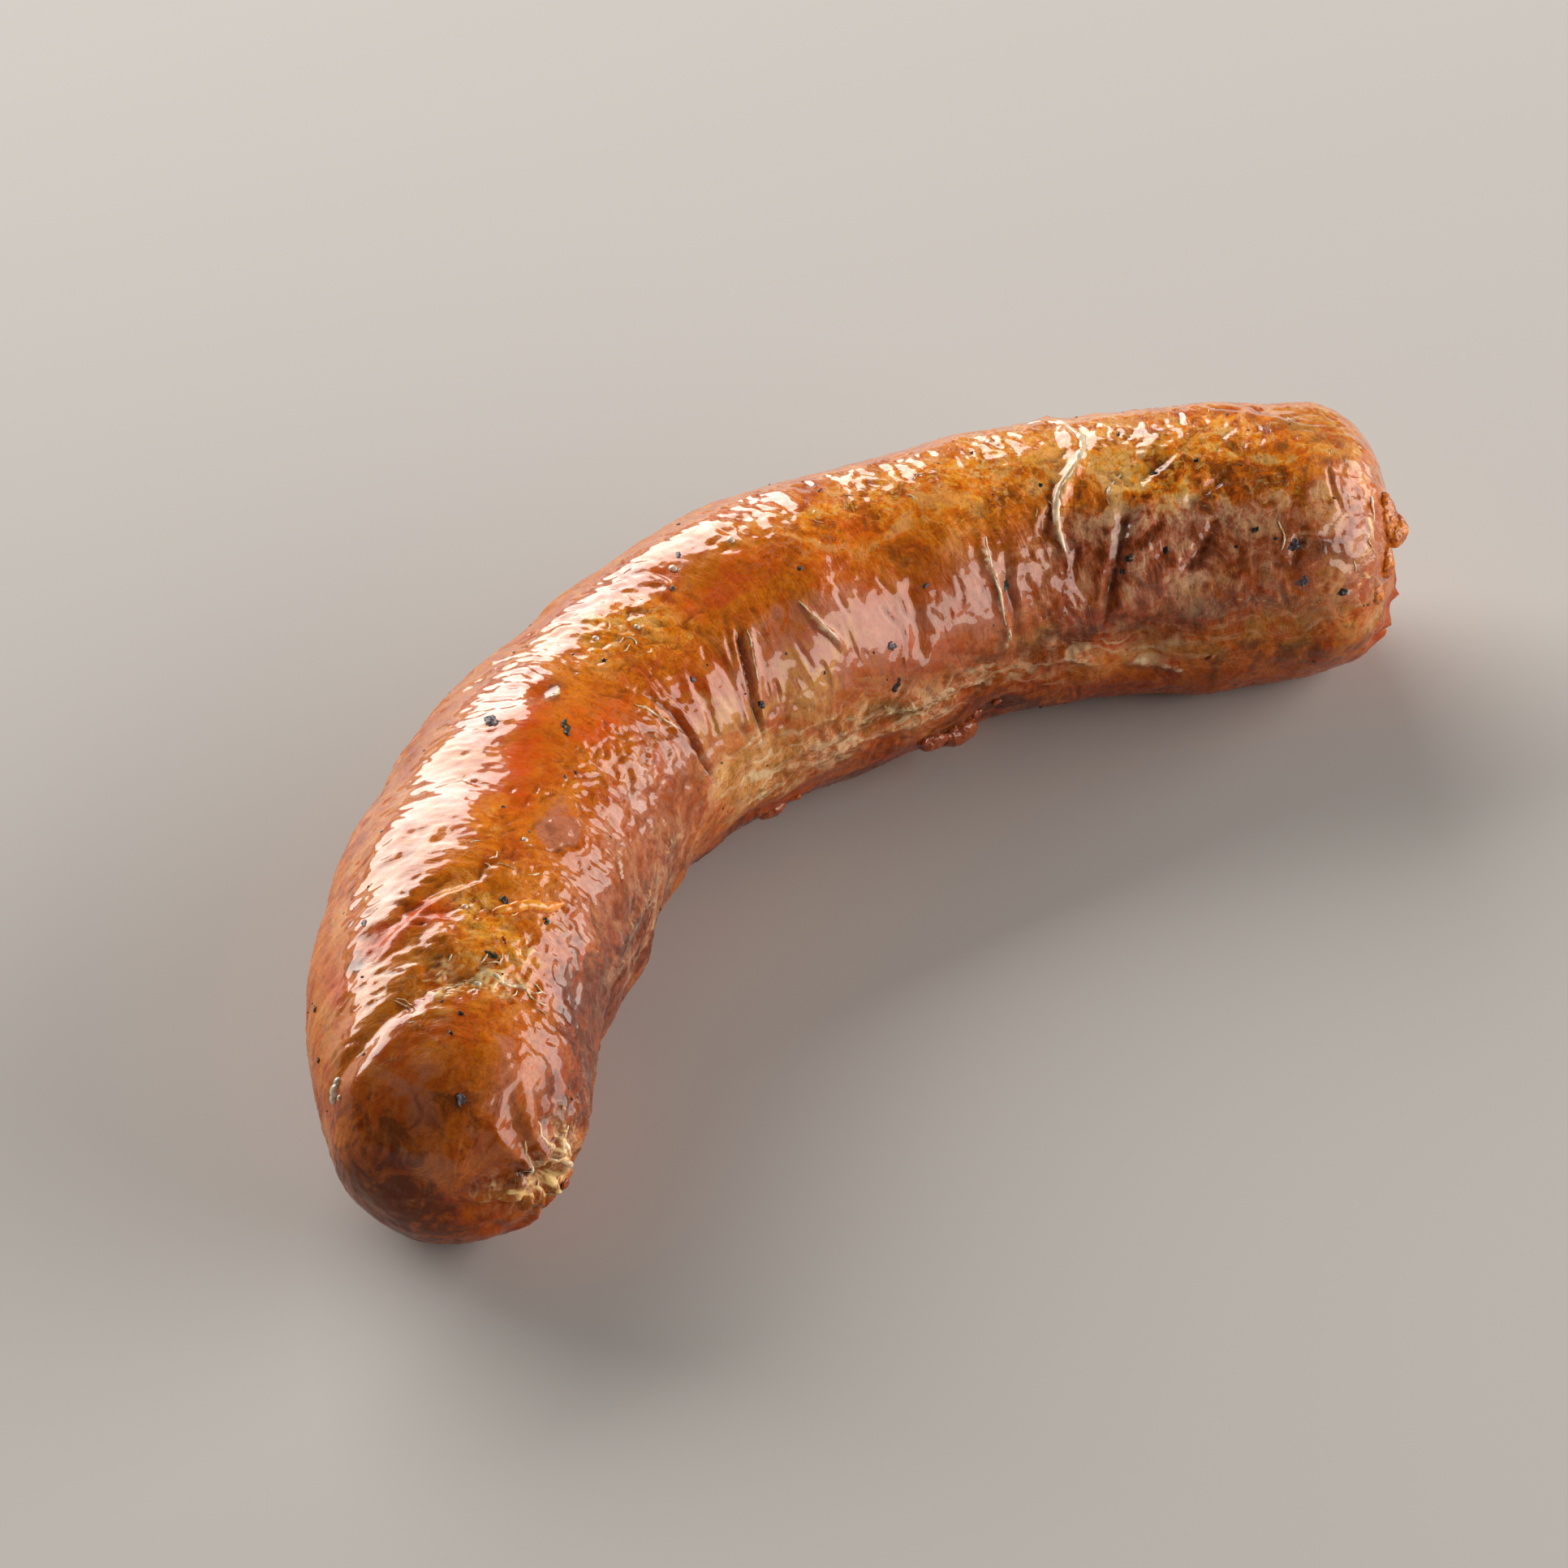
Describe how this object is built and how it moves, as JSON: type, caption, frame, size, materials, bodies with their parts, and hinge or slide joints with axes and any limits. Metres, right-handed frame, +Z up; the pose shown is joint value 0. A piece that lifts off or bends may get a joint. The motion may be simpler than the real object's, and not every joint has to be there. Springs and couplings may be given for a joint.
{
  "type": "grilled sausage",
  "caption": "Curved grilled sausage in a glossy, creased natural casing, with gathered ends and bits of filling burst through.",
  "frame": {"origin": "centre of the bounding box's underside, on the surface that the sausage lies on", "axes": "+X from the near end to the far end along the straight line between them, +Y towards the outside of the bend, +Z up"},
  "size_m": [0.1854, 0.073, 0.0376],
  "materials": {
    "casing": "gloss",
    "filling": "gloss",
    "spice": "matte"
  },
  "bodies": {
    "root": {"sausage": "casing"}
  },
  "joints": []
}
